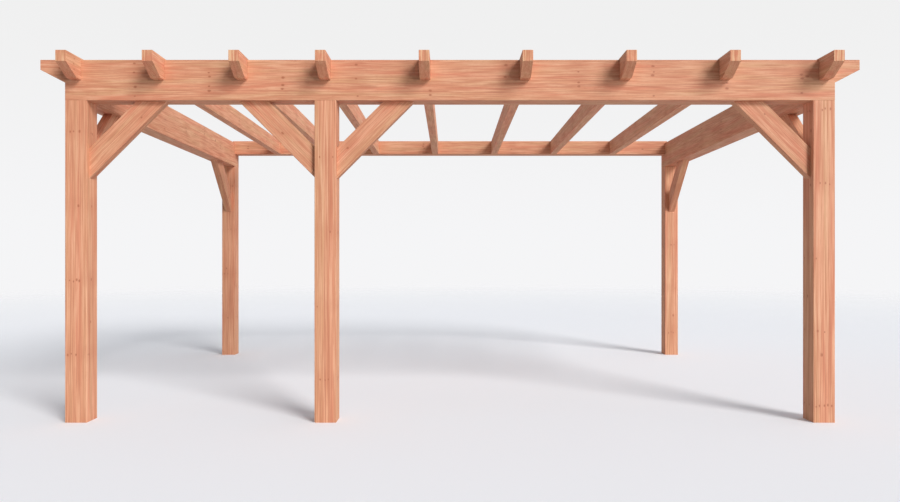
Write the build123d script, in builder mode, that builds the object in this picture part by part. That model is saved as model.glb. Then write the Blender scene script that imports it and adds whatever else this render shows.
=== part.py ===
"""Attached timber veranda: an open roof frame on five posts that stands against a house wall.

The front looks along -Y and the house wall is on the +Y side. The origin is on the ground,
in the middle of the frame's overall length and depth. All lengths are in millimetres.
"""

import os
from math import sqrt

from build123d import *

# Plan of the frame
post_size = 152  # square posts; the beams on them are as wide
left_bay = 1750  # between post centres along the front
right_bay = 3500
frame_depth = 3500  # front posts' front face to rear posts' front face
left_bay_gaps = 3  # gaps between rafters in each bay
right_bay_gaps = 5

# Heights
clear_height = 2262  # ground to the underside of the front beam
beam_depth = 284  # front beam
side_beam_depth = 275  # side beams, level with the front beam's underside at its front face
plate_depth = 154  # rear plate along the house wall
rafter_depth = 154
rafter_rise = 12  # rafters above the top of the front beam, at its front face
roof_fall = 26  # from the front posts' face back to the rear plate

# Shaped ends of the front beam
beam_tail = 173  # past the outer face of the corner posts
beam_tip = 70  # plumb part of the end
beam_tail_root = 160  # depth left where the tail leaves the post

# Rafters and their shaped front ends
rafter_width = 72
rafter_tail = 200  # past the front face of the beam
rafter_tip = 75
rafter_heel = 60  # flat underside between the sloping cut and the beam

# Braces at forty-five degrees
brace_width = 152
brace_thickness = 70
brace_leg = 542  # corner to the far edge of the brace, along the post and along the beam

# Joints between timbers
joint_clearance = 0.5  # round a tenon in its mortise, and each side of a rafter in its slot
post_tenon_length = 100  # along the beam that the post carries
post_tenon_thickness = 50
post_tenon_height = 80
brace_tenon_thickness = 30
brace_tenon_depth = 40  # into the post and into the beam
beam_tenon_thickness = 50
beam_tenon_depth = 30  # of a side beam into the back of the front beam
beam_tenon_shoulder = 30  # timber left under that tenon, and between it and the slot over it
housing_depth = 25  # rafters let into the rear plate, and the plate into the side beams
housing_floor = 40  # timber left under a housing
arris = 2  # planed-off long edges
overrun = 60  # cutters past the timber that they cut

# Places along the frame's length
half_post = post_size / 2
post_left = -(left_bay + right_bay) / 2
post_middle = post_left + left_bay
post_right = post_middle + right_bay
inner_half = post_right - half_post
outer_half = post_right + half_post
left_rafter_step = left_bay / left_bay_gaps
right_rafter_step = right_bay / right_bay_gaps
rafter_places = [post_left + left_rafter_step * i for i in range(1, left_bay_gaps + 1)]
rafter_places += [post_middle + right_rafter_step * i for i in range(1, right_bay_gaps)]

# Places along the frame's depth
overall_depth = rafter_tail + frame_depth + post_size
tail_end = -overall_depth / 2
front_face = tail_end + rafter_tail
beam_back = front_face + post_size
rear_face = front_face + frame_depth
wall_line = rear_face + post_size

# Heights of the roof plane, which falls from the front to the wall
roof_slope = roof_fall / frame_depth
beam_top = clear_height + beam_depth
front_roof_top = beam_top + rafter_rise


def roof_top(y):
    """Height of the top of the rafters at a place along the depth."""
    return front_roof_top - roof_slope * (y - front_face)


def side_underside(y):
    """Height of the underside of the side beams, which fall with the roof."""
    return clear_height - roof_slope * (y - front_face)


plate_top = roof_top(rear_face)
plate_bottom = plate_top - plate_depth
housing_seat = plate_bottom + housing_floor

# Middle planes of the front frame and of each side frame
front_plane = Plane.XZ.offset(-front_face - half_post)
left_plane = Plane.YZ.offset(post_left)
right_plane = Plane.YZ.offset(post_right)

# Each brace: its plane, the corner of post and beam that it sits in, the way that the beam
# leaves the post, and how steeply the beam's underside rises along that way
left_front_corner = (post_left + half_post, clear_height)
middle_left_corner = (post_middle - half_post, clear_height)
middle_right_corner = (post_middle + half_post, clear_height)
right_front_corner = (post_right - half_post, clear_height)
side_front_corner = (beam_back, side_underside(beam_back))
side_rear_corner = (rear_face, side_underside(rear_face))
brace_sites = {
    "front_left_brace": (front_plane, left_front_corner, 1, 0),
    "front_middle_left_brace": (front_plane, middle_left_corner, -1, 0),
    "front_middle_right_brace": (front_plane, middle_right_corner, 1, 0),
    "front_right_brace": (front_plane, right_front_corner, -1, 0),
    "left_side_front_brace": (left_plane, side_front_corner, 1, -roof_slope),
    "left_side_rear_brace": (left_plane, side_rear_corner, -1, roof_slope),
    "right_side_front_brace": (right_plane, side_front_corner, 1, -roof_slope),
    "right_side_rear_brace": (right_plane, side_rear_corner, -1, roof_slope),
}


def timber(plane, outline, thickness):
    """A length of squared timber: an outline drawn on its middle plane, with planed-off arrises."""
    with BuildPart() as piece:
        with BuildSketch(plane):
            with BuildLine():
                Polyline(*outline, close=True)
            make_face()
        extrude(amount=thickness / 2, both=True)
        chamfer(piece.edges().sort_by(Edge.length)[-4:], arris)
    return piece.part


def block(plane, outline, thickness, room=0):
    """A plain block from an outline on its middle plane, with room all round where it cuts."""
    with BuildPart() as piece:
        with BuildSketch(plane):
            with BuildLine():
                Polyline(*outline, close=True)
            make_face()
            if room:
                offset(amount=room, kind=Kind.INTERSECTION)
        extrude(amount=thickness / 2 + room, both=True)
    return piece.part


def post_tenon(plane, across, base, room=0):
    """The tenon on top of a post, along the beam that it carries, or its mortise with room."""
    half_length = post_tenon_length / 2
    outline = [
        (across - half_length, base),
        (across + half_length, base),
        (across + half_length, base + post_tenon_height),
        (across - half_length, base + post_tenon_height),
    ]
    return block(plane, outline, post_tenon_thickness, room)


def brace_outline(corner, way, rise):
    """A brace between its shoulders on the post and on the beam."""
    across, height = corner
    outer_reach = brace_leg / (1 - rise)
    inner_leg = brace_leg - brace_width * sqrt(2)
    inner_reach = inner_leg / (1 - rise)
    return [
        (across, height - brace_leg),
        (across + way * outer_reach, height + rise * outer_reach),
        (across + way * inner_reach, height + rise * inner_reach),
        (across, height - inner_leg),
    ]


def brace_tenons(corner, way, rise):
    """Outlines of a brace's two tenons, square at their outer edge: in the post, in the beam."""
    foot, outer, inner, top = brace_outline(corner, way, rise)
    depth = brace_tenon_depth
    in_post = [
        foot,
        (foot[0] - way * depth, foot[1]),
        (top[0] - way * depth, top[1] - depth),
        top,
    ]
    in_beam = [
        outer,
        (outer[0], outer[1] + depth),
        (inner[0] + way * depth, inner[1] + depth),
        inner,
    ]
    return [in_post, in_beam]


def brace(plane, corner, way, rise):
    """A brace in the middle of its frame's thickness, tenoned at both ends."""
    with BuildPart() as piece:
        add(timber(plane, brace_outline(corner, way, rise), brace_thickness))
        for outline in brace_tenons(corner, way, rise):
            add(block(plane, outline, brace_tenon_thickness))
    return piece.part


brace_mortises = [
    block(plane, outline, brace_tenon_thickness, joint_clearance)
    for plane, corner, way, rise in brace_sites.values()
    for outline in brace_tenons(corner, way, rise)
]


def front_post(x):
    """A square post with a tenon up into the front beam, mortised for its braces."""
    with BuildPart() as post:
        with BuildSketch():
            with Locations((x, front_face + half_post)):
                Rectangle(post_size, post_size)
        extrude(amount=clear_height)
        chamfer(post.edges().filter_by(Axis.Z), arris)
        add(post_tenon(front_plane, x, clear_height))
        add(brace_mortises, mode=Mode.SUBTRACT)
    return post.part


def rear_post(plane):
    """A square post at the wall, its top cut to the fall of the side beam that it is tenoned into."""
    outline = [
        (rear_face, 0),
        (wall_line, 0),
        (wall_line, side_underside(wall_line)),
        (rear_face, side_underside(rear_face)),
    ]
    with BuildPart() as post:
        add(timber(plane, outline, post_size))
        add(post_tenon(plane, rear_face + half_post, side_underside(wall_line)))
        add(brace_mortises, mode=Mode.SUBTRACT)
    return post.part


def tail_outline():
    """Front end of a rafter, from its top at the tip round to its underside near the beam."""
    heel = front_face - rafter_heel
    return [
        (tail_end, roof_top(tail_end)),
        (tail_end, roof_top(tail_end) - rafter_tip),
        (heel, roof_top(heel) - rafter_depth),
    ]


def rafter(x):
    """A rafter with a shaped tail, notched at the back to sit in a housing in the rear plate."""
    end = rear_face + housing_depth
    outline = tail_outline() + [
        (rear_face, roof_top(rear_face) - rafter_depth),
        (rear_face, housing_seat),
        (end, housing_seat),
        (end, roof_top(end)),
    ]
    return timber(Plane.YZ.offset(x), outline, rafter_width)


def corner_tail(plane):
    """A short tail through the front beam over a corner post, shaped like the rafters' tails."""
    outline = tail_outline() + [
        (beam_back, roof_top(beam_back) - rafter_depth),
        (beam_back, roof_top(beam_back)),
    ]
    return timber(plane, outline, rafter_width)


def beam_tenon(plane, room=0):
    """The tenon of a side beam into the back of the front beam, or its mortise with room."""
    low = clear_height + beam_tenon_shoulder
    high = roof_top(beam_back) - rafter_depth - beam_tenon_shoulder
    end = beam_back - beam_tenon_depth
    outline = [(end, low), (beam_back, low), (beam_back, high), (end, high)]
    return block(plane, outline, beam_tenon_thickness, room)


def front_beam():
    """The beam along the front, with shaped ends and a slot for each rafter tail."""
    tip = outer_half + beam_tail
    right_end = [
        (outer_half, clear_height),
        (outer_half, beam_top - beam_tail_root),
        (tip, beam_top - beam_tip),
        (tip, beam_top),
    ]
    left_end = [(-x, z) for x, z in reversed(right_end)]
    cut_front = front_face - overrun
    cut_back = beam_back + overrun
    slot_outline = [
        (cut_front, roof_top(cut_front) - rafter_depth),
        (cut_back, roof_top(cut_back) - rafter_depth),
        (cut_back, beam_top + overrun),
        (cut_front, beam_top + overrun),
    ]
    slot_width = rafter_width + 2 * joint_clearance
    with BuildPart() as beam:
        add(timber(front_plane, right_end + left_end, post_size))
        for x in [post_left, *rafter_places, post_right]:
            add(block(Plane.YZ.offset(x), slot_outline, slot_width), mode=Mode.SUBTRACT)
        for x in [post_left, post_middle, post_right]:
            add(post_tenon(front_plane, x, clear_height, joint_clearance), mode=Mode.SUBTRACT)
        for plane in [left_plane, right_plane]:
            add(beam_tenon(plane, joint_clearance), mode=Mode.SUBTRACT)
        add(brace_mortises, mode=Mode.SUBTRACT)
    return beam.part


def side_beam(plane, inner_face, outward):
    """A beam tenoned into the back of the front beam, that falls to the wall over its rear post."""
    outline = [
        (beam_back, side_underside(beam_back)),
        (wall_line, side_underside(wall_line)),
        (wall_line, side_underside(wall_line) + side_beam_depth),
        (beam_back, side_underside(beam_back) + side_beam_depth),
    ]
    mortise = post_tenon(plane, rear_face + half_post, side_underside(wall_line), joint_clearance)
    with BuildPart() as beam:
        add(timber(plane, outline, post_size))
        add(beam_tenon(plane))
        with BuildSketch(Plane.XY.offset(housing_seat)):
            with Locations((inner_face + outward * housing_depth / 2, rear_face + half_post)):
                Rectangle(housing_depth, post_size)
        extrude(amount=plate_depth, mode=Mode.SUBTRACT)
        add(mortise, mode=Mode.SUBTRACT)
        add(brace_mortises, mode=Mode.SUBTRACT)
    return beam.part


def rear_plate():
    """The level plate along the wall, let into both side beams and housed for the rafters."""
    right_end = [
        (inner_half, plate_bottom),
        (inner_half, housing_seat),
        (inner_half + housing_depth, housing_seat),
        (inner_half + housing_depth, plate_top),
    ]
    left_end = [(-x, z) for x, z in reversed(right_end)]
    plane = Plane.XZ.offset(-rear_face - half_post)
    with BuildPart() as plate:
        add(timber(plane, right_end + left_end, post_size))
        with BuildSketch(Plane.XY.offset(housing_seat)):
            with Locations([(x, rear_face) for x in rafter_places]):
                Rectangle(rafter_width + 2 * joint_clearance, 2 * housing_depth)
        extrude(amount=plate_depth, mode=Mode.SUBTRACT)
    return plate.part


pieces = {
    "front_left_post": front_post(post_left),
    "front_middle_post": front_post(post_middle),
    "front_right_post": front_post(post_right),
    "rear_left_post": rear_post(left_plane),
    "rear_right_post": rear_post(right_plane),
    "front_beam": front_beam(),
    "left_side_beam": side_beam(left_plane, -inner_half, -1),
    "right_side_beam": side_beam(right_plane, inner_half, 1),
    "rear_plate": rear_plate(),
    "left_corner_tail": corner_tail(left_plane),
    "right_corner_tail": corner_tail(right_plane),
}
for number, place in enumerate(rafter_places, start=1):
    pieces[f"rafter_{number}"] = rafter(place)
for name, site in brace_sites.items():
    pieces[name] = brace(*site)

os.makedirs("parts", exist_ok=True)
for name, piece in pieces.items():
    piece.label = name
    export_step(piece, f"parts/{name}.step")
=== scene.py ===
"""Looks of an attached timber veranda: planed softwood on every timber, and a plain pale stage."""

import math
import random

import bmesh
import bpy
from bpy.props import FloatProperty, FloatVectorProperty, IntProperty, PointerProperty
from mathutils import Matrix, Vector


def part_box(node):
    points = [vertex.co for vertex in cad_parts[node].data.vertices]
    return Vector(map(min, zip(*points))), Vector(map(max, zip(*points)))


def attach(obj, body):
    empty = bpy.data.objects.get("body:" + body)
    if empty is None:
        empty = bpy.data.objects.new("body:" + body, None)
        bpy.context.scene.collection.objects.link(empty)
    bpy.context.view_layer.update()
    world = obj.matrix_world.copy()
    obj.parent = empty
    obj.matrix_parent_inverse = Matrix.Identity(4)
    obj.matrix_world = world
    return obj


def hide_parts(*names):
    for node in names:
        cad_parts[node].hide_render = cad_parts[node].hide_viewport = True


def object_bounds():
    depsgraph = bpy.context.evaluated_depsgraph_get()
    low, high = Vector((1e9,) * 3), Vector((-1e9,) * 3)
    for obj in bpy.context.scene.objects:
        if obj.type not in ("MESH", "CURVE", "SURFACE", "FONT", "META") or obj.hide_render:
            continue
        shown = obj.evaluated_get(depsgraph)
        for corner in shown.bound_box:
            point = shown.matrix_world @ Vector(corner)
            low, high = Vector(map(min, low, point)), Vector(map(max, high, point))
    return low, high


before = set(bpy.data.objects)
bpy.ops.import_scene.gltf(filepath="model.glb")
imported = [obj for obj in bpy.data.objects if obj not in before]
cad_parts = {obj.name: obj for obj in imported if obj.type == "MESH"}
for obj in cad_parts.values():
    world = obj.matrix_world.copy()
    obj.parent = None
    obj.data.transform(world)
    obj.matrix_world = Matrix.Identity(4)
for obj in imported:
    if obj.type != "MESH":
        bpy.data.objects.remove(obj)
CAD_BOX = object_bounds()

bl_info = {
    "name": "Timber veranda",
    "version": (1, 0, 0),
    "blender": (4, 5, 0),
    "location": "3D View > Sidebar > Veranda",
    "description": "Dresses an attached timber veranda and sets it on a pale stage",
    "category": "Object",
}

BODY = "root"
WOOD_NAME = "planed_softwood"
TREE_NAME = "Knotty timber"
IMAGE_WIDTH = 900  # pixels
SENSOR_WIDTH = 36.0  # millimetres

POSTS = [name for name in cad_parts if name.endswith("_post")]
RAFTERS = [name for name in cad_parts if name.startswith("rafter_")]
BRACES = [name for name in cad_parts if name.endswith("_brace")]
LONG_BEAMS = ["front_beam", "rear_plate"]
SIDE_BEAMS = [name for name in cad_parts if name.endswith("_side_beam")]
CORNER_TAILS = [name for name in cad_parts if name.endswith("_corner_tail")]

ALONG_X = Vector((1, 0, 0))
ALONG_Y = Vector((0, 1, 0))
ALONG_Z = Vector((0, 0, 1))

# How short the streaks are in each kind of timber, how strong its fine lines, and its kind of knots
POST_GRAIN = (0.4, 1.4, "pin")
BEAM_GRAIN = (1.0, 0.9, "knot")

# How light the wood of each kind of timber is, and of those that differ from their kind: by own tone,
# or by painted shade at the back
POST_SHADE = 1.0
BEAM_SHADE = 0.965
RAFTER_SHADE = 1.03
TONE_AND_PAINTED_SHADE = {
    # Painted shade: darker for the shade at the back of the veranda by the house wall
    "rear_right_post": 0.96,
    "rear_plate": 0.99,
    # Painted shade: darker for the shade at the back of the veranda by the house wall
    "right_side_beam": 0.93,
    "left_side_beam": 1.0,
}

# Numbers of the first timber of each kind; a timber's number picks its board
FIRST_POST = 1
FIRST_BEAM = 21
FIRST_RAFTER = 31
FIRST_BRACE = 51
BOARD_SHIFT = 13.7  # along the trunk from one board to the next, in metres
PITH_REACH = 0.09  # how far the pith lies from the middle of a timber, in metres

# Merging and easing of a timber's mesh
MERGE_DISTANCE = 1e-5
FLAT_ANGLE = math.radians(0.1)
EASED_ANGLE = math.radians(20)
EASED_STEPS = 2

# One knot, as a low dome on a disc: its sides and rings, length over width, and heights in metres
KNOT_SIDES = 18
KNOT_RINGS = 6
KNOT_STRETCH = 1.5
HEART_RISE = 0.00012
KNOT_RISE = 0.0002
RIM_SINK = 0.00003

# Sizes of knots as shares of the largest, how much more strays grow, the rings in a knot, and how
# far the grain bends round it, as a share of its half width
KNOT_SIZES = (0.45, 0.80)
STRAY_GROWTH = 0.6
KNOT_GROWTH_RINGS = 14.0
GRAIN_BEND = 0.85

# Where knots may lie: on long faces, which lean this little to the grain, and clear of sharp edges
# and of each other, in their own sizes, and of the box's far faces, in metres
LONG_FACE_LEAN = 0.2
KNOT_EDGE_ANGLE = math.radians(6)
KNOT_EDGE_ROOM = 1.5
KNOT_SPACING = 1.3
KNOT_LIMIT_ROOM = 0.001

# How far the pith wanders and the rings ripple, and the relief of the planed faces, in metres
PITH_WANDER = 0.030
RING_RIPPLE = 0.003
RELIEF_DEPTH = 0.0006
RELIEF_STRENGTH = 0.25

# Noises in the wood: scale along the grain and twice across it, and detail
NOISES = {
    "wander": ((0.7, 3.0, 3.0), 1.0),
    "ripple": ((3.0, 40.0, 40.0), 2.0),
    "tint": ((1.2, 20.0, 20.0), 1.0),
    "stripe": ((3.6, 45.0, 45.0), 2.0),
    "line": ((5.5, 160.0, 160.0), 1.5),
    "fleck": ((30.0, 260.0, 260.0), 2.0),
    "blotch": ((2.4, 10.0, 10.0), 2.0),
    "band": ((0.8, 95.0, 5.0), 1.0),
    "ragged": ((90.0, 150.0, 150.0), 2.0),
}

# Slopes of a direction between which the soft light goes over from one side's level to another's,
# the most that the light from behind takes over, and slopes between which the backdrop changes
LEFT_TO_RIGHT = (-0.1, 0.9)
SIDES_TO_FRONT = (-0.2, -0.9)
SIDES_TO_BEHIND = (0.0, 0.9)
BEHIND_SHARE = 0.6
BACKDROP_RISE = (0.0, 0.33)

# The floor disc: the shares of its radius between which it fades, and its sides
FLOOR_FADE = (0.18, 0.95)
FLOOR_SIDES = 96

# Sockets of a Mix node that mixes colours, and of a Random Value node that gives numbers
MIX_FACTOR, MIX_FIRST, MIX_SECOND, MIX_RESULT = 0, 6, 7, 2
RANDOM_MIN, RANDOM_MAX, RANDOM_RESULT = 2, 3, 1


class VerandaWood(bpy.types.PropertyGroup):
    """Colours and grain of the planed softwood."""

    salmon: FloatVectorProperty(
        name="Salmon wood", description="Main colour of the planed faces",
        subtype="COLOR", size=3, min=0, max=1, default=(0.700, 0.330, 0.195))
    pale: FloatVectorProperty(
        name="Pale lines", description="Cream lines along the grain",
        subtype="COLOR", size=3, min=0, max=1, default=(0.850, 0.510, 0.330))
    olive: FloatVectorProperty(
        name="Olive bands", description="Greener bands along the grain",
        subtype="COLOR", size=3, min=0, max=1, default=(0.660, 0.370, 0.205))
    pink: FloatVectorProperty(
        name="Pink bands", description="Pinker bands along the grain",
        subtype="COLOR", size=3, min=0, max=1, default=(0.710, 0.265, 0.160))
    red: FloatVectorProperty(
        name="Red lines", description="Dark lines along the grain and round knots",
        subtype="COLOR", size=3, min=0, max=1, default=(0.500, 0.180, 0.100))
    orange: FloatVectorProperty(
        name="Orange end grain", description="Bright bands across the sawn ends",
        subtype="COLOR", size=3, min=0, max=1, default=(0.780, 0.510, 0.310))
    knot: FloatVectorProperty(
        name="Knots", description="Heart of a knot",
        subtype="COLOR", size=3, min=0, max=1, default=(0.440, 0.150, 0.075))
    ring_width: FloatProperty(
        name="Ring width", description="Wood that grew in one year",
        subtype="DISTANCE", unit="LENGTH", default=0.0055)
    knot_radius: FloatProperty(
        name="Knot radius", description="Largest knot, with the grain that bends round it",
        subtype="DISTANCE", unit="LENGTH", default=0.019)
    knot_density: FloatProperty(
        name="Knots in a whorl", description="Per square metre of the whorl", default=2600.0)
    pin_radius: FloatProperty(
        name="Pin knot radius", description="Largest of the small knots in the posts",
        subtype="DISTANCE", unit="LENGTH", default=0.015)
    pin_density: FloatProperty(
        name="Pin knots in a whorl", description="Per square metre of the whorl", default=14000.0)
    whorl_spacing: FloatProperty(
        name="Whorl spacing", description="Between the rings of branches along the trunk",
        subtype="DISTANCE", unit="LENGTH", default=0.52)
    whorl_depth: FloatProperty(
        name="Whorl depth", description="Along the trunk, over which one ring of branches grew",
        subtype="DISTANCE", unit="LENGTH", default=0.014)
    stray_share: FloatProperty(
        name="Stray share", description="Knots kept outside the whorls",
        subtype="FACTOR", min=0, max=1, default=0.003)
    eased_edge: FloatProperty(
        name="Eased edge", description="Rounding left on sawn and planed edges",
        subtype="DISTANCE", unit="LENGTH", default=0.0012)
    seed: IntProperty(
        name="Seed", description="Picks another set of boards", default=7)


class VerandaStage(bpy.types.PropertyGroup):
    """Camera, lamps and floor."""

    camera_distance: FloatProperty(
        name="Camera distance", description="In front of the front posts' faces",
        subtype="DISTANCE", unit="LENGTH", default=5.077)
    camera_height: FloatProperty(
        name="Camera height", description="Above the floor",
        subtype="DISTANCE", unit="LENGTH", default=1.168)
    lens: FloatProperty(
        name="Lens", description="Focal length on a 36 mm wide sensor, in millimetres", default=28.95)
    horizon_drop: FloatProperty(
        name="Horizon drop", description="Horizon below the middle of the image, in pixels",
        default=5.22)
    key_azimuth: FloatProperty(
        name="Key azimuth", description="Key lamp to the right of the camera's line",
        subtype="ANGLE", unit="ROTATION", default=math.radians(38))
    key_elevation: FloatProperty(
        name="Key elevation", description="Key lamp above the floor",
        subtype="ANGLE", unit="ROTATION", default=math.radians(31))
    key_width: FloatProperty(
        name="Key width", description="Angle across the soft key lamp, as seen from the frame",
        subtype="ANGLE", unit="ROTATION", default=math.radians(24))
    key_strength: FloatProperty(
        name="Key strength", description="Strength of the key lamp", default=2.73)
    fill_azimuth: FloatProperty(
        name="Fill azimuth", description="Low fill lamp to the right of the camera's line",
        subtype="ANGLE", unit="ROTATION", default=math.radians(33))
    fill_elevation: FloatProperty(
        name="Fill elevation", description="Low fill lamp above the floor",
        subtype="ANGLE", unit="ROTATION", default=math.radians(4))
    fill_width: FloatProperty(
        name="Fill width", description="Angle across the low fill lamp, as seen from the frame",
        subtype="ANGLE", unit="ROTATION", default=math.radians(14))
    fill_strength: FloatProperty(
        name="Fill strength", description="Strength of the low fill lamp", default=0.70)
    lamp_colour: FloatVectorProperty(
        name="Lamp colour", description="Slightly warm light", subtype="COLOR", size=3, min=0, max=1,
        default=(1.0, 0.98, 0.955))
    sky: FloatVectorProperty(
        name="Sky", description="Soft cool light from all round", subtype="COLOR", size=3, min=0, max=1,
        default=(0.93, 0.96, 1.0))
    sky_left: FloatProperty(
        name="Sky on the left", description="Level of the soft light from the left", default=0.44)
    sky_right: FloatProperty(
        name="Sky on the right", description="Level of the soft light from the right", default=0.82)
    sky_front: FloatProperty(
        name="Sky in front", description="Level of the soft light from in front", default=0.0)
    sky_behind: FloatProperty(
        name="Sky behind", description="Level of the soft light from behind", default=0.51)
    backdrop_low: FloatVectorProperty(
        name="Backdrop at the horizon", description="Pale background low down", subtype="COLOR", size=3,
        min=0, max=1, default=(0.913, 0.913, 0.925))
    backdrop_high: FloatVectorProperty(
        name="Backdrop above", description="Pale background high up", subtype="COLOR", size=3,
        min=0, max=1, default=(0.871, 0.871, 0.871))
    floor: FloatVectorProperty(
        name="Floor", description="Pale floor as the camera sees it", subtype="COLOR", size=3,
        min=0, max=1, default=(0.925, 0.94, 0.98))
    floor_bounce: FloatVectorProperty(
        name="Floor bounce", description="Floor as the timbers see it", subtype="COLOR", size=3,
        min=0, max=1, default=(0.69, 0.66, 0.65))
    floor_radius: FloatProperty(
        name="Floor radius", description="Floor disc, which fades into the backdrop",
        subtype="DISTANCE", unit="LENGTH", default=26.0)


class Value:
    """A number socket. Python arithmetic on it adds Math nodes to its tree."""

    def __init__(self, nodes, socket):
        self.nodes = nodes
        self.socket = socket

    def math(self, operation, *others):
        inputs = dict(enumerate((self, *others)))
        return self.nodes.add("ShaderNodeMath", {"operation": operation}, inputs).value(0)

    def __add__(self, other):
        return self.math("ADD", other)

    def __sub__(self, other):
        return self.math("SUBTRACT", other)

    def __mul__(self, other):
        return self.math("MULTIPLY", other)

    def __truediv__(self, other):
        return self.math("DIVIDE", other)

    def __gt__(self, other):
        return self.math("GREATER_THAN", other)

    def __lt__(self, other):
        return self.math("LESS_THAN", other)

    def __abs__(self):
        return self.math("ABSOLUTE")

    def __rsub__(self, other):
        return self.nodes.add("ShaderNodeMath", {"operation": "SUBTRACT"}, {0: other, 1: self}).value(0)

    __radd__ = __add__
    __rmul__ = __mul__

    def fraction(self):
        return self.math("FRACT")

    def smooth(self, low, high):
        """Rises smoothly from 0 at low to 1 at high."""
        settings = {"interpolation_type": "SMOOTHSTEP"}
        sockets = {"Value": self, "From Min": low, "From Max": high}
        return self.nodes.add("ShaderNodeMapRange", settings, sockets).value("Result")


class Made:
    """A node that has been added, with its outputs at hand."""

    def __init__(self, nodes, node):
        self.nodes = nodes
        self.node = node

    def out(self, key=0):
        return self.node.outputs[key]

    def value(self, key=0):
        return Value(self.nodes, self.node.outputs[key])


class Nodes:
    """Adds nodes to one shader or geometry tree."""

    def __init__(self, tree):
        self.tree = tree

    def add(self, kind, settings=None, sockets=None):
        """A node of a type, with its settings made first and then its sockets set or linked."""
        node = self.tree.nodes.new(kind)
        for name, setting in (settings or {}).items():
            setattr(node, name, setting)
        for key, source in (sockets or {}).items():
            self.join(node.inputs[key], source)
        return Made(self, node)

    def join(self, socket, source):
        if isinstance(source, Value):
            source = source.socket
        elif isinstance(source, Made):
            source = source.out()
        if isinstance(source, bpy.types.NodeSocket):
            self.tree.links.new(source, socket)
        else:
            socket.default_value = source

    def vector(self, operation, *parts, output="Vector"):
        made = self.add("ShaderNodeVectorMath", {"operation": operation}, dict(enumerate(parts)))
        return made.out(output)

    def dot(self, a, b):
        return Value(self, self.vector("DOT_PRODUCT", a, b, output="Value"))

    def mix(self, factor, a, b):
        """Colour a where the factor is 0, colour b where it is 1."""
        sockets = {MIX_FACTOR: factor, MIX_FIRST: a, MIX_SECOND: b}
        return self.add("ShaderNodeMix", {"data_type": "RGBA"}, sockets).out(MIX_RESULT)


def settings_of(context):
    return context.scene.veranda_wood, context.scene.veranda_stage


def rgba(colour):
    return (*colour, 1.0)


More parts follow.
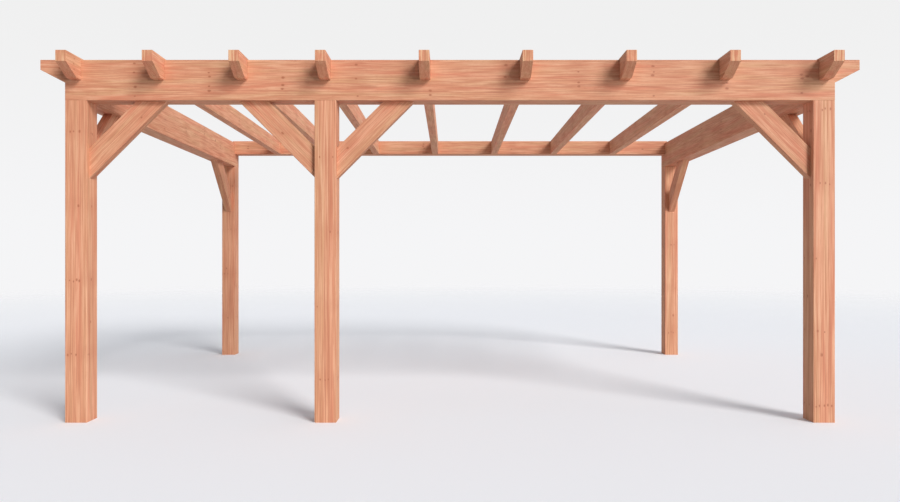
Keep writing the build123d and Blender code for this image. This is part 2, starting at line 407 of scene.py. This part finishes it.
def softwood(wood):
    """Planed softwood in the space of each timber: along the grain, and across from the pith."""
    found = bpy.data.materials.get(WOOD_NAME)
    if found:
        return found
    material = bpy.data.materials.new(WOOD_NAME)
    material.use_nodes = True
    material.node_tree.nodes.clear()
    n = Nodes(material.node_tree)
    grain = n.add("ShaderNodeAttribute", {"attribute_name": "grain"}).out("Vector")
    knot = n.add("ShaderNodeAttribute", {"attribute_name": "knot"}).value("Fac")
    end = n.add("ShaderNodeAttribute", {"attribute_name": "end"}).value("Fac")

    def noise(name):
        scale, detail = NOISES[name]
        stretched = n.vector("MULTIPLY", grain, scale)
        sockets = {"Vector": stretched, "Scale": 1.0, "Detail": detail, "Roughness": 0.5}
        return n.add("ShaderNodeTexNoise", None, sockets)

    # Growth rings round a pith that wanders a little along the trunk
    wander = noise("wander").out("Color")
    wandered = n.add(
        "ShaderNodeVectorMath", {"operation": "MULTIPLY_ADD"},
        {0: wander, 1: (0.0, PITH_WANDER, PITH_WANDER), 2: grain}).out()
    across = n.vector("MULTIPLY", wandered, (0.0, 1.0, 1.0))
    radius = Value(n, n.vector("LENGTH", across, output="Value"))
    ripple = noise("ripple").value("Fac")
    season = ((radius + RING_RIPPLE * ripple) / wood.ring_width).fraction()
    late = season.smooth(0.35, 0.90) * (1 - season.smooth(0.92, 1.0))

    # Bands, stripes and lines that run along the timber, wide to fine
    tint = noise("tint").value("Fac")
    stripe = noise("stripe").value("Fac")
    line = noise("line").value("Fac")
    lines = n.add("ShaderNodeAttribute", {"attribute_name": "lines"}).value("Fac")
    fleck = noise("fleck").value("Fac")
    blotch = noise("blotch").value("Fac")

    # Upright bands on the sawn ends
    band = noise("band").value("Fac")
    sawn = end.smooth(0.30, 0.95)
    planed = 1 - 0.75 * sawn

    # Colours that are laid over the salmon wood in turn, each with its share
    late_share = late * (0.25 + 0.35 * blotch.smooth(0.40, 0.65) + 0.15 * sawn)
    layers = [
        (0.75 * tint.smooth(0.50, 0.68), wood.olive),
        (0.75 * (1 - tint.smooth(0.32, 0.50)), wood.pink),
        (0.35 * planed * stripe.smooth(0.48, 0.68), wood.pale),
        (0.35 * planed * (1 - stripe.smooth(0.32, 0.52)), wood.red),
        (late_share, wood.red),
        (0.50 * lines * planed * line.smooth(0.50, 0.70), wood.pale),
        (0.50 * lines * planed * (1 - line.smooth(0.30, 0.50)), wood.red),
        (0.30 * fleck.smooth(0.52, 0.72), wood.red),
        (0.75 * sawn * band.smooth(0.50, 0.66), wood.orange),
        (0.60 * sawn * (1 - band.smooth(0.36, 0.54)), wood.red),
    ]

    # A whorl reddens the wood about it; a knot has a bark line round its heart
    length = n.add("ShaderNodeAttribute", {"attribute_name": "length"}).value("Fac")
    whorl = (length / wood.whorl_spacing + 0.25).fraction()
    near_whorl = whorl.smooth(0.10, 0.26) * (1 - whorl.smooth(0.30, 0.46))
    ragged = noise("ragged").value("Fac")
    depth = knot + 0.45 * (ragged - 0.5) * knot.smooth(0.0, 0.3)
    heart = depth.smooth(0.44, 0.62)
    bark = heart * (1 - depth.smooth(0.62, 0.74))
    small_rings = (depth * KNOT_GROWTH_RINGS).fraction().smooth(0.5, 0.9)
    dark_knot = [0.5 * part for part in wood.knot]
    layers += [
        (0.20 * near_whorl * blotch.smooth(0.3, 0.6), wood.red),
        (0.45 * depth.smooth(0.05, 0.55), wood.red),
        (0.70 * heart, wood.knot),
        (0.20 * bark + 0.15 * heart * small_rings, dark_knot),
    ]
    colour = rgba(wood.salmon)
    for share, over in layers:
        colour = n.mix(share, colour, rgba(over))
    # Each timber's colour is scaled by its shade: its own tone, and painted shade on the rear right
    # post and the right side beam
    shade = n.add("ShaderNodeAttribute", {"attribute_name": "shade"}).out("Fac")
    colour = n.add("ShaderNodeVectorMath", {"operation": "SCALE"}, {0: colour, "Scale": shade}).out()

    roughness = 0.60 - 0.08 * late + 0.12 * fleck - 0.10 * heart + 0.15 * end
    relief = 0.6 * fleck + 0.4 * late + 0.3 * line
    bump = n.add(
        "ShaderNodeBump", None,
        {"Strength": RELIEF_STRENGTH, "Distance": RELIEF_DEPTH, "Height": relief}).out()
    shader = n.add(
        "ShaderNodeBsdfPrincipled", None,
        {"Base Color": colour, "Roughness": roughness, "Normal": bump, "Specular IOR Level": 0.35})
    n.add("ShaderNodeOutputMaterial", None, {"Surface": shader})
    return material


def knotty_timber_tree():
    """Geometry Nodes that give a timber its grain space and strew knots over its long faces."""
    found = bpy.data.node_groups.get(TREE_NAME)
    if found:
        return found
    tree = bpy.data.node_groups.new(TREE_NAME, "GeometryNodeTree")
    face = tree.interface
    face.new_socket("Geometry", in_out="INPUT", socket_type="NodeSocketGeometry")
    for name in ("Along", "Across", "Pith", "Limit"):
        face.new_socket(name, in_out="INPUT", socket_type="NodeSocketVector")
    for name in ("Shift", "Draw", "Lines", "Shade", "Knot Density", "Knot Radius", "Whorl Spacing",
                 "Whorl Depth", "Stray Share"):
        face.new_socket(name, in_out="INPUT", socket_type="NodeSocketFloat")
    face.new_socket("Seed", in_out="INPUT", socket_type="NodeSocketInt")
    face.new_socket("Wood", in_out="INPUT", socket_type="NodeSocketMaterial")
    face.new_socket("Geometry", in_out="OUTPUT", socket_type="NodeSocketGeometry")

    n = Nodes(tree)
    given = n.add("NodeGroupInput")
    along, across, pith = (given.out(name) for name in ("Along", "Across", "Pith"))
    third = n.vector("CROSS_PRODUCT", along, across)
    position = n.add("GeometryNodeInputPosition").out()
    normal = n.add("GeometryNodeInputNormal").out()
    end = abs(n.dot(normal, along))

    def grain_at(place):
        """Place along the grain, drawn out, and across it from the pith, and the plain length."""
        local = n.vector("SUBTRACT", place, pith)
        length = n.dot(local, along) + given.value("Shift")
        drawn = length * given.value("Draw")
        sockets = {"X": drawn, "Y": n.dot(local, across), "Z": n.dot(local, third)}
        return n.add("ShaderNodeCombineXYZ", None, sockets).out(), length

    def store(geometry, name, data_type, domain, source):
        settings = {"data_type": data_type, "domain": domain}
        sockets = {"Geometry": geometry, "Name": name, "Value": source}
        return n.add("GeometryNodeStoreNamedAttribute", settings, sockets).out()

    def named(name, data_type="FLOAT"):
        made = n.add("GeometryNodeInputNamedAttribute", {"data_type": data_type}, {"Name": name})
        return made.out("Attribute")

    grain, length = grain_at(position)
    timber = store(given.out("Geometry"), "grain", "FLOAT_VECTOR", "POINT", grain)
    timber = store(timber, "length", "FLOAT", "POINT", length)
    timber = store(timber, "end", "FLOAT", "FACE", end)
    timber = store(timber, "lines", "FLOAT", "POINT", given.out("Lines"))
    # Shade: the timber's tone, and painted shade on the rear right post and the right side beam
    timber = store(timber, "shade", "FLOAT", "POINT", given.out("Shade"))

    # Sharp edges, which knots keep clear of
    angle = n.add("GeometryNodeInputMeshEdgeAngle").value("Unsigned Angle")
    edges = n.add(
        "GeometryNodeSeparateGeometry", {"domain": "EDGE"},
        {"Geometry": timber, "Selection": angle > KNOT_EDGE_ANGLE}).out("Selection")
    edge_gap = n.add(
        "GeometryNodeProximity", {"target_element": "EDGES"}, {0: edges}).value("Distance")

    # Strewn points, of which those in whorls along the trunk are kept, and a few strays
    strewn = n.add(
        "GeometryNodeDistributePointsOnFaces", {"distribute_method": "POISSON"},
        {"Mesh": timber, "Selection": end < LONG_FACE_LEAN, "Density Max": given.out("Knot Density"),
         "Distance Min": given.value("Knot Radius") * KNOT_SPACING, "Seed": given.out("Seed")})
    points = store(strewn.out("Points"), "face_normal", "FLOAT_VECTOR", "POINT", strewn.out("Normal"))

    def chance(low, high, offset):
        sockets = {RANDOM_MIN: low, RANDOM_MAX: high, "Seed": given.value("Seed") + offset}
        return n.add("FunctionNodeRandomValue", {"data_type": "FLOAT"}, sockets).value(RANDOM_RESULT)

    whorl = (length / given.value("Whorl Spacing")).fraction() * given.value("Whorl Spacing")
    stray = whorl > given.value("Whorl Depth")
    outside = stray * (chance(0.0, 1.0, 2) > given.value("Stray Share"))
    size = given.value("Knot Radius") * chance(*KNOT_SIZES, 1) * (1 + STRAY_GROWTH * stray)
    points = store(points, "knot_size", "FLOAT", "POINT", size)
    knot_size = Value(n, named("knot_size"))
    too_near = edge_gap < knot_size * KNOT_EDGE_ROOM
    room = n.add("ShaderNodeSeparateXYZ", None, {0: n.vector("SUBTRACT", given.out("Limit"), position)})
    at_limit = (room.value("Y") < KNOT_LIMIT_ROOM) + (room.value("Z") < KNOT_LIMIT_ROOM)
    points = n.add(
        "GeometryNodeDeleteGeometry", {"domain": "POINT"},
        {"Geometry": points, "Selection": (outside + too_near + at_limit) > 0.5}).out()

    # One knot: a low dome on a disc of unit radius
    disc = n.add(
        "GeometryNodeMeshCone", {"fill_type": "NONE"},
        {"Vertices": KNOT_SIDES, "Side Segments": KNOT_RINGS, "Radius Top": 0.0,
         "Radius Bottom": 1.0, "Depth": 0.0}).out("Mesh")
    separate = n.add("ShaderNodeSeparateXYZ", None, {0: position})
    rim = Value(n, n.vector("LENGTH", n.vector("MULTIPLY", position, (1.0, 1.0, 0.0)), output="Value"))
    disc = store(disc, "knot", "FLOAT", "POINT", 1 - rim)
    disc = store(disc, "offset", "FLOAT", "POINT", separate.value("Y"))
    dome = HEART_RISE * (1 - rim.smooth(0.30, 0.55)) + KNOT_RISE * (1 - rim) - RIM_SINK
    lift = n.add("ShaderNodeCombineXYZ", None, {"X": 0.0, "Y": 0.0, "Z": dome}).out()
    disc = n.add("GeometryNodeSetPosition", None, {"Geometry": disc, "Offset": lift}).out()

    up = named("face_normal", "FLOAT_VECTOR")
    standing = n.add(
        "FunctionNodeAlignRotationToVector", {"axis": "Z"}, {"Vector": up}).out()
    turned = n.add(
        "FunctionNodeAlignRotationToVector", {"axis": "X", "pivot_axis": "Z"},
        {"Rotation": standing, "Vector": along}).out()
    stretch = n.add(
        "ShaderNodeCombineXYZ", None,
        {"X": knot_size * KNOT_STRETCH, "Y": knot_size, "Z": 1.0}).out()
    knots = n.add(
        "GeometryNodeInstanceOnPoints", None,
        {"Points": points, "Instance": disc, "Rotation": turned, "Scale": stretch}).out()
    knots = n.add("GeometryNodeRealizeInstances", None, {"Geometry": knots}).out()

    # The grain bends round each knot, and meets the straight grain at its rim
    sideways = n.vector("CROSS_PRODUCT", up, along)
    swirl = Value(n, named("knot")).smooth(0.0, 0.9) * Value(n, named("offset")) * knot_size
    swirl = swirl * -GRAIN_BEND
    bent_by = n.add("ShaderNodeVectorMath", {"operation": "SCALE"}, {0: sideways, "Scale": swirl}).out()
    bent_grain, bent_length = grain_at(n.vector("ADD", position, bent_by))
    knots = store(knots, "grain", "FLOAT_VECTOR", "POINT", bent_grain)
    knots = store(knots, "length", "FLOAT", "POINT", bent_length)
    knots = store(knots, "lines", "FLOAT", "POINT", given.out("Lines"))
    # Shade: the timber's tone, and painted shade on the rear right post and the right side beam
    knots = store(knots, "shade", "FLOAT", "POINT", given.out("Shade"))
    for helper in ("face_normal", "knot_size", "offset"):
        knots = n.add(
            "GeometryNodeRemoveAttribute", None, {"Geometry": knots, "Name": helper}).out()
    knots = n.add("GeometryNodeSetShadeSmooth", None, {"Geometry": knots}).out()

    joined = n.add("GeometryNodeJoinGeometry", None, {"Geometry": knots})
    n.join(joined.node.inputs["Geometry"], timber)
    whole = n.add("GeometryNodeRealizeInstances", None, {"Geometry": joined}).out()
    dressed = n.add(
        "GeometryNodeSetMaterial", None, {"Geometry": whole, "Material": given.out("Wood")}).out()
    n.add("NodeGroupOutput", None, {"Geometry": dressed})
    return tree


def clean_copy(context, node):
    """A merged copy of a CAD node's mesh, with flat faces whole again."""
    mesh = bpy.data.meshes.new(f"{node}_blank")
    work = bmesh.new()
    work.from_mesh(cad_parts[node].data)
    bmesh.ops.remove_doubles(work, verts=work.verts, dist=MERGE_DISTANCE)
    bmesh.ops.dissolve_limit(work, angle_limit=FLAT_ANGLE, verts=work.verts, edges=work.edges)
    work.to_mesh(mesh)
    work.free()
    blank = bpy.data.objects.new(f"{node}_blank", mesh)
    context.scene.collection.objects.link(blank)
    return blank


def dress(context, node, along, across, grain, shade, number):
    """Replaces a CAD timber by the same timber with eased edges, grain and knots."""
    wood, _ = settings_of(context)
    draw, lines, knots = grain
    low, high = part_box(node)
    pick = random.Random(wood.seed * 1000 + number)
    pith = (low + high) / 2 + across * pick.uniform(-PITH_REACH, PITH_REACH)
    pith += along.cross(across) * pick.uniform(-PITH_REACH, PITH_REACH)

    blank = clean_copy(context, node)
    bevel = blank.modifiers.new("Eased edges", "BEVEL")
    bevel.width = wood.eased_edge
    bevel.segments = EASED_STEPS
    bevel.limit_method = "ANGLE"
    bevel.angle_limit = EASED_ANGLE
    tree = knotty_timber_tree()
    dressing = blank.modifiers.new(TREE_NAME, "NODES")
    dressing.node_group = tree
    values = {
        "Along": along, "Across": across, "Pith": pith, "Limit": CAD_BOX[1],
        "Shift": number * BOARD_SHIFT, "Draw": draw, "Lines": lines,
        # Tone of the kind, or painted shade on the rear right post and the right side beam
        "Shade": TONE_AND_PAINTED_SHADE.get(node, shade),
        "Knot Density": getattr(wood, f"{knots}_density"),
        "Knot Radius": getattr(wood, f"{knots}_radius"),
        "Whorl Spacing": wood.whorl_spacing, "Whorl Depth": wood.whorl_depth,
        "Stray Share": wood.stray_share, "Seed": wood.seed * 100 + number, "Wood": softwood(wood),
    }
    for item in tree.interface.items_tree:
        if item.in_out == "INPUT" and item.name in values:
            dressing[item.identifier] = values[item.name]

    evaluated = blank.evaluated_get(context.evaluated_depsgraph_get())
    mesh = bpy.data.meshes.new_from_object(evaluated)
    mesh.name = f"{node}_timber"
    bpy.data.objects.remove(blank)
    piece = bpy.data.objects.new(f"{node}_timber", mesh)
    context.scene.collection.objects.link(piece)
    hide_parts(node)
    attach(piece, BODY)


def brace_axes(node):
    """The way that a brace leans, read from its upper and lower corners, and the way across it."""
    points = [vertex.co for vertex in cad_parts[node].data.vertices]
    lean = max(points, key=lambda p: p.z) - min(points, key=lambda p: p.z)
    if abs(lean.x) > abs(lean.y):
        along = Vector((math.copysign(1, lean.x), 0, 1))
        return along.normalized(), ALONG_Y
    along = Vector((0, math.copysign(1, lean.y), 1))
    return along.normalized(), ALONG_X


class VERANDA_OT_posts(bpy.types.Operator):
    """Dress the five posts"""

    bl_idname = "veranda.posts"
    bl_label = "Posts"

    def execute(self, context):
        for number, node in enumerate(POSTS, start=FIRST_POST):
            dress(context, node, ALONG_Z, ALONG_X, POST_GRAIN, POST_SHADE, number)
        return {"FINISHED"}


class VERANDA_OT_beams(bpy.types.Operator):
    """Dress the front beam, the side beams and the rear plate"""

    bl_idname = "veranda.beams"
    bl_label = "Beams and plate"

    def execute(self, context):
        for number, node in enumerate(LONG_BEAMS + SIDE_BEAMS, start=FIRST_BEAM):
            along, across = (ALONG_X, ALONG_Y) if node in LONG_BEAMS else (ALONG_Y, ALONG_X)
            dress(context, node, along, across, BEAM_GRAIN, BEAM_SHADE, number)
        return {"FINISHED"}


class VERANDA_OT_rafters(bpy.types.Operator):
    """Dress the rafters and the corner tails"""

    bl_idname = "veranda.rafters"
    bl_label = "Rafters and corner tails"

    def execute(self, context):
        for number, node in enumerate(RAFTERS + CORNER_TAILS, start=FIRST_RAFTER):
            dress(context, node, ALONG_Y, ALONG_X, BEAM_GRAIN, RAFTER_SHADE, number)
        return {"FINISHED"}


class VERANDA_OT_braces(bpy.types.Operator):
    """Dress the braces"""

    bl_idname = "veranda.braces"
    bl_label = "Braces"

    def execute(self, context):
        for number, node in enumerate(BRACES, start=FIRST_BRACE):
            along, across = brace_axes(node)
            dress(context, node, along, across, BEAM_GRAIN, BEAM_SHADE, number)
        return {"FINISHED"}


def floor_material(stage):
    """Pale floor that takes soft shadows and fades at its rim, duller to the timbers."""
    material = bpy.data.materials.new("pale_floor")
    material.use_nodes = True
    material.node_tree.nodes.clear()
    n = Nodes(material.node_tree)
    place = n.add("ShaderNodeTexCoord").out("Object")
    reach = Value(n, n.vector("LENGTH", place, output="Value"))
    fade = reach.smooth(*(share * stage.floor_radius for share in FLOOR_FADE))
    seen = n.add("ShaderNodeLightPath").out("Is Camera Ray")
    to_camera = n.add("ShaderNodeBsdfDiffuse", None, {"Color": rgba(stage.floor)})
    to_timber = n.add("ShaderNodeBsdfDiffuse", None, {"Color": rgba(stage.floor_bounce)})
    both = n.add("ShaderNodeMixShader", None, {0: seen, 1: to_timber, 2: to_camera})
    clear = n.add("ShaderNodeBsdfTransparent")
    mixed = n.add("ShaderNodeMixShader", None, {0: fade, 1: both, 2: clear})
    n.add("ShaderNodeOutputMaterial", None, {"Surface": mixed})
    return material


def build_floor(context, stage):
    """A pale disc under the posts."""
    mesh = bpy.data.meshes.new("floor")
    work = bmesh.new()
    bmesh.ops.create_circle(work, cap_ends=True, radius=stage.floor_radius, segments=FLOOR_SIDES)
    work.to_mesh(mesh)
    work.free()
    mesh.materials.append(floor_material(stage))
    floor = bpy.data.objects.new("floor", mesh)
    context.scene.collection.objects.link(floor)


def build_world(context, stage):
    """Soft light with its own level from each side, and a pale backdrop that only the camera sees."""
    world = bpy.data.worlds.new("studio")
    context.scene.world = world
    world.use_nodes = True
    world.node_tree.nodes.clear()
    n = Nodes(world.node_tree)
    seen = n.add("ShaderNodeLightPath").out("Is Camera Ray")
    way = n.add("ShaderNodeSeparateXYZ", None, {0: n.add("ShaderNodeTexCoord").out("Generated")})

    def ground(colour, strength=1.0):
        return n.add("ShaderNodeBackground", None, {"Color": rgba(colour), "Strength": strength})

    def blend(factor, first, second):
        return n.add("ShaderNodeMixShader", None, {0: factor, 1: first, 2: second})

    sideways = way.value("X").smooth(*LEFT_TO_RIGHT)
    in_front = way.value("Y").smooth(*SIDES_TO_FRONT)
    behind = BEHIND_SHARE * way.value("Y").smooth(*SIDES_TO_BEHIND)
    sky = blend(sideways, ground(stage.sky, stage.sky_left), ground(stage.sky, stage.sky_right))
    sky = blend(in_front, sky, ground(stage.sky, stage.sky_front))
    sky = blend(behind, sky, ground(stage.sky, stage.sky_behind))
    upward = way.value("Z").smooth(*BACKDROP_RISE)
    pale = blend(upward, ground(stage.backdrop_low), ground(stage.backdrop_high))
    mixed = blend(seen, sky, pale)
    n.add("ShaderNodeOutputWorld", None, {"Surface": mixed})


def build_lamp(context, stage, name):
    """A soft lamp, far off to the right in front, from the stage's sizes of that name."""
    azimuth = getattr(stage, f"{name}_azimuth")
    elevation = getattr(stage, f"{name}_elevation")
    light = bpy.data.lights.new(name, "SUN")
    light.angle = getattr(stage, f"{name}_width")
    light.energy = getattr(stage, f"{name}_strength")
    light.color = stage.lamp_colour
    lamp = bpy.data.objects.new(name, light)
    level = math.cos(elevation)
    way = Vector((math.sin(azimuth) * level, -math.cos(azimuth) * level, math.sin(elevation)))
    lamp.rotation_euler = (-way).to_track_quat("-Z", "Y").to_euler()
    context.scene.collection.objects.link(lamp)


def build_camera(context, stage):
    """A level camera in front of the middle, with its horizon set by a shift of the lens."""
    lens = bpy.data.cameras.new("camera")
    lens.lens = stage.lens
    lens.sensor_width = SENSOR_WIDTH
    lens.shift_y = stage.horizon_drop / IMAGE_WIDTH
    camera = bpy.data.objects.new("camera", lens)
    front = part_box("front_left_post")[0].y
    camera.location = (0.0, front - stage.camera_distance, stage.camera_height)
    camera.rotation_euler = (math.radians(90), 0.0, 0.0)
    context.scene.collection.objects.link(camera)
    context.scene.camera = camera


class VERANDA_OT_stage(bpy.types.Operator):
    """Set the floor, the light and the camera"""

    bl_idname = "veranda.stage"
    bl_label = "Stage"

    def execute(self, context):
        _, stage = settings_of(context)
        build_floor(context, stage)
        build_world(context, stage)
        build_lamp(context, stage, "key")
        build_lamp(context, stage, "fill")
        build_camera(context, stage)
        context.scene.view_settings.view_transform = "Standard"
        return {"FINISHED"}


STEPS = (
    VERANDA_OT_posts,
    VERANDA_OT_beams,
    VERANDA_OT_rafters,
    VERANDA_OT_braces,
    VERANDA_OT_stage,
)


class VERANDA_PT_panel(bpy.types.Panel):
    """Lists the steps that dress the veranda"""

    bl_label = "Timber veranda"
    bl_idname = "VERANDA_PT_panel"
    bl_space_type = "VIEW_3D"
    bl_region_type = "UI"
    bl_category = "Veranda"

    def draw(self, context):
        for step in STEPS:
            self.layout.operator(step.bl_idname)
        for group in settings_of(context):
            for name in group.bl_rna.properties.keys():
                if name not in ("rna_type", "name"):
                    self.layout.prop(group, name)


CLASSES = (VerandaWood, VerandaStage, *STEPS, VERANDA_PT_panel)


def register():
    for cls in CLASSES:
        bpy.utils.register_class(cls)
    bpy.types.Scene.veranda_wood = PointerProperty(type=VerandaWood)
    bpy.types.Scene.veranda_stage = PointerProperty(type=VerandaStage)


def unregister():
    del bpy.types.Scene.veranda_stage
    del bpy.types.Scene.veranda_wood
    for cls in reversed(CLASSES):
        bpy.utils.unregister_class(cls)


def main():
    register()
    for step in (
        bpy.ops.veranda.posts,
        bpy.ops.veranda.beams,
        bpy.ops.veranda.rafters,
        bpy.ops.veranda.braces,
        bpy.ops.veranda.stage,
    ):
        step()


if __name__ == "__main__":
    main()
